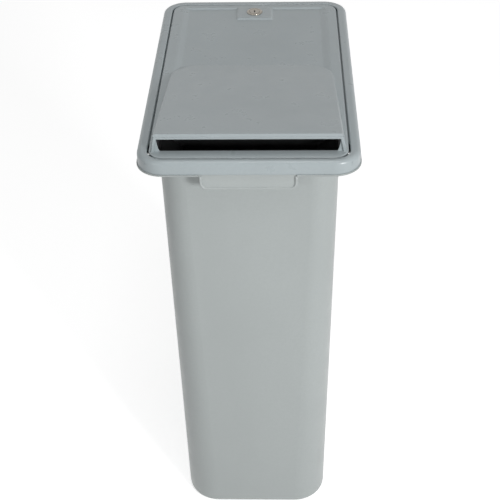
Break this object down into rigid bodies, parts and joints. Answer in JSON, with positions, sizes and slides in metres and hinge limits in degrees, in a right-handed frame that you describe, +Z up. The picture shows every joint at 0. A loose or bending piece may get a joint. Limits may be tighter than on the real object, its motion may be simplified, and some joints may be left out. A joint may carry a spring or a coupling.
{
  "type": "lockable shred bin",
  "caption": "Slim tapered waste bin for confidential paper, with a framed lid, a hooded paper slot at the front end, a cam lock at the rear and handle tabs under the rim.",
  "frame": {"origin": "centre of the bounding box's underside, level with the foot ring the bin stands on", "axes": "+Z up; -Y towards the end with the paper slot, +Y towards the end with the lock; +X to the right seen from the slot end"},
  "size_m": [0.305, 0.508, 0.762],
  "materials": {
    "bin_grey": "fine matte moulded grey",
    "lid_grey": "fine matte moulded grey",
    "chute_black": "matte black",
    "nickel": "satin nickel plate",
    "steel": "zinc-plated steel"
  },
  "bodies": {
    "bin": {"bin_body": "bin_grey", "lid_frame": "lid_grey", "frame_screws": "steel", "strike_plate": "steel", "strike_screws": "steel"},
    "lid": {"lid_panel": "lid_grey", "slot_chute": "chute_black", "chute_screws": "steel", "hinge_pin_left": "steel", "hinge_pin_right": "steel", "lock_barrel": "nickel", "lock_washer": "steel", "lock_nut": "nickel"},
    "lock_core": {"lock_plug": "nickel", "cam_stop_washer": "steel", "lock_cam": "steel", "cam_screw": "steel"}
  },
  "joints": [
    {"name": "lid_hinge", "type": "hinge", "parent": "bin", "child": "lid", "pos_m": [0, -0.2273, 0.7305], "axis": [1, 0, 0], "range_deg": [0, 72]},
    {"name": "lock_turn", "type": "hinge", "parent": "lid", "child": "lock_core", "pos_m": [0, 0.2078, 0.719], "axis": [0, 0, 1], "range_deg": [0, 90]}
  ]
}
